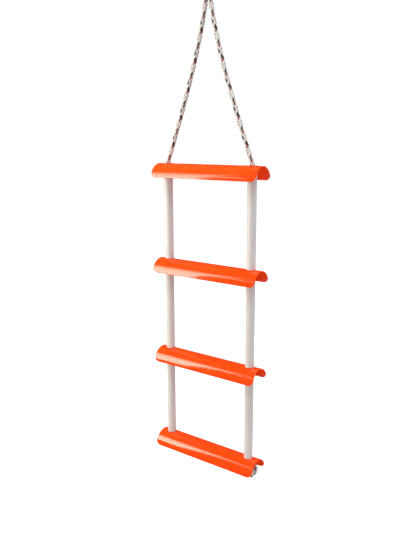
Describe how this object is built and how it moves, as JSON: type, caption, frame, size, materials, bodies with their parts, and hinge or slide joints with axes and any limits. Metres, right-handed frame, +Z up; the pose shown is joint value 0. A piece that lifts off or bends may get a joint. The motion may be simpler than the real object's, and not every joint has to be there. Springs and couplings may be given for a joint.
{
  "type": "rope ladder",
  "caption": "Hanging rope ladder with half-round plastic steps held apart by spacer tubes on one braided rope, which ends in a hanging loop above and stopper knots below.",
  "frame": {"origin": "the inside top of the hanging loop, where a hook carries it", "axes": "+Z up, the ladder hangs towards -Z; X along the steps, with +X on the climber's right; -Y towards the climber"},
  "size_m": [0.368, 0.083, 1.5199],
  "materials": {
    "step_plastic": "glossy moulded orange polypropylene",
    "tube_plastic": "satin white PVC pipe",
    "rope": "braided white polypropylene with dark navy and dark red tracers"
  },
  "bodies": {
    "hang_loop": {"hang_loop": "rope"},
    "top_knot": {"top_knot": "rope"},
    "bridle": {"bridle_rope_left": "rope", "bridle_rope_right": "rope"},
    "step_1": {"step_1": "step_plastic", "rope_in_step_left_1": "rope", "rope_in_step_right_1": "rope"},
    "step_2": {"step_2": "step_plastic", "rope_in_step_left_2": "rope"},
    "rope_foot_right_2": {"rope_in_step_right_2": "rope"},
    "step_3": {"step_3": "step_plastic", "rope_in_step_left_3": "rope"},
    "rope_foot_right_3": {"rope_in_step_right_3": "rope"},
    "step_4": {"step_4": "step_plastic", "rope_in_step_left_4": "rope", "stopper_knot_left": "rope", "stopper_knot_right": "rope"},
    "rope_foot_right_4": {"rope_in_step_right_4": "rope"},
    "rope_left_1": {"rope_in_tube_left_1": "rope"},
    "tube_left_1": {"spacer_tube_left_1": "tube_plastic"},
    "rope_right_1": {"rope_in_tube_right_1": "rope"},
    "tube_right_1": {"spacer_tube_right_1": "tube_plastic"},
    "rope_left_2": {"rope_in_tube_left_2": "rope"},
    "tube_left_2": {"spacer_tube_left_2": "tube_plastic"},
    "rope_right_2": {"rope_in_tube_right_2": "rope"},
    "tube_right_2": {"spacer_tube_right_2": "tube_plastic"},
    "rope_left_3": {"rope_in_tube_left_3": "rope"},
    "tube_left_3": {"spacer_tube_left_3": "tube_plastic"},
    "rope_right_3": {"rope_in_tube_right_3": "rope"},
    "tube_right_3": {"spacer_tube_right_3": "tube_plastic"}
  },
  "joints": [
    {"name": "side_swing", "type": "hinge", "parent": "hang_loop", "child": "top_knot", "pos_m": [0, 0, -0.08965], "axis": [0, 1, 0], "range_deg": [-25, 25]},
    {"name": "front_swing", "type": "hinge", "parent": "top_knot", "child": "bridle", "pos_m": [0, 0, -0.08965], "axis": [1, 0, 0], "range_deg": [-30, 30]},
    {"name": "top_step_tilt", "type": "hinge", "parent": "bridle", "child": "step_1", "pos_m": [0, 0, -0.56765], "axis": [1, 0, 0], "range_deg": [-30, 30]},
    {"name": "bay_1_fold", "type": "hinge", "parent": "step_1", "child": "rope_left_1", "pos_m": [-0.13565, 0, -0.57915], "axis": [0, -1, 0], "range_deg": [0, 85]},
    {"name": "tube_left_1_spin", "type": "hinge", "parent": "rope_left_1", "child": "tube_left_1", "pos_m": [-0.149, 0, -0.7219], "axis": [0, 0, 1], "continuous": true},
    {"name": "bay_1_fold_right", "type": "hinge", "parent": "step_1", "child": "rope_right_1", "pos_m": [0.16235, 0, -0.57915], "axis": [0, -1, 0], "range_deg": [0, 85]},
    {"name": "tube_right_1_spin", "type": "hinge", "parent": "rope_right_1", "child": "tube_right_1", "pos_m": [0.149, 0, -0.7219], "axis": [0, 0, 1], "continuous": true},
    {"name": "step_2_level", "type": "hinge", "parent": "rope_left_1", "child": "step_2", "pos_m": [-0.16235, 0, -0.86465], "axis": [0, -1, 0], "range_deg": [-85, 0]},
    {"name": "rope_foot_right_2_level", "type": "hinge", "parent": "rope_right_1", "child": "rope_foot_right_2", "pos_m": [0.13565, 0, -0.86465], "axis": [0, -1, 0], "range_deg": [-85, 0]},
    {"name": "bay_2_fold", "type": "hinge", "parent": "step_2", "child": "rope_left_2", "pos_m": [-0.16235, 0, -0.87215], "axis": [0, 1, 0], "range_deg": [0, 85]},
    {"name": "tube_left_2_spin", "type": "hinge", "parent": "rope_left_2", "child": "tube_left_2", "pos_m": [-0.149, 0, -1.0149], "axis": [0, 0, 1], "continuous": true},
    {"name": "bay_2_fold_right", "type": "hinge", "parent": "step_2", "child": "rope_right_2", "pos_m": [0.13565, 0, -0.87215], "axis": [0, 1, 0], "range_deg": [0, 85]},
    {"name": "tube_right_2_spin", "type": "hinge", "parent": "rope_right_2", "child": "tube_right_2", "pos_m": [0.149, 0, -1.0149], "axis": [0, 0, 1], "continuous": true},
    {"name": "step_3_level", "type": "hinge", "parent": "rope_left_2", "child": "step_3", "pos_m": [-0.13565, 0, -1.15765], "axis": [0, 1, 0], "range_deg": [-85, 0]},
    {"name": "rope_foot_right_3_level", "type": "hinge", "parent": "rope_right_2", "child": "rope_foot_right_3", "pos_m": [0.16235, 0, -1.15765], "axis": [0, 1, 0], "range_deg": [-85, 0]},
    {"name": "bay_3_fold", "type": "hinge", "parent": "step_3", "child": "rope_left_3", "pos_m": [-0.13565, 0, -1.16515], "axis": [0, -1, 0], "range_deg": [0, 85]},
    {"name": "tube_left_3_spin", "type": "hinge", "parent": "rope_left_3", "child": "tube_left_3", "pos_m": [-0.149, 0, -1.3079], "axis": [0, 0, 1], "continuous": true},
    {"name": "bay_3_fold_right", "type": "hinge", "parent": "step_3", "child": "rope_right_3", "pos_m": [0.16235, 0, -1.16515], "axis": [0, -1, 0], "range_deg": [0, 85]},
    {"name": "tube_right_3_spin", "type": "hinge", "parent": "rope_right_3", "child": "tube_right_3", "pos_m": [0.149, 0, -1.3079], "axis": [0, 0, 1], "continuous": true},
    {"name": "step_4_level", "type": "hinge", "parent": "rope_left_3", "child": "step_4", "pos_m": [-0.16235, 0, -1.45065], "axis": [0, -1, 0], "range_deg": [-85, 0]},
    {"name": "rope_foot_right_4_level", "type": "hinge", "parent": "rope_right_3", "child": "rope_foot_right_4", "pos_m": [0.13565, 0, -1.45065], "axis": [0, -1, 0], "range_deg": [-85, 0]}
  ],
  "couplings": [
    {"joint": "rope_foot_right_2_level", "follows": "bay_1_fold", "ratio": -1},
    {"joint": "bay_1_fold_right", "follows": "bay_1_fold", "ratio": 1},
    {"joint": "step_2_level", "follows": "bay_1_fold", "ratio": -1},
    {"joint": "rope_foot_right_3_level", "follows": "bay_2_fold", "ratio": -1},
    {"joint": "bay_2_fold_right", "follows": "bay_2_fold", "ratio": 1},
    {"joint": "step_3_level", "follows": "bay_2_fold", "ratio": -1},
    {"joint": "rope_foot_right_4_level", "follows": "bay_3_fold", "ratio": -1},
    {"joint": "bay_3_fold_right", "follows": "bay_3_fold", "ratio": 1},
    {"joint": "step_4_level", "follows": "bay_3_fold", "ratio": -1}
  ]
}
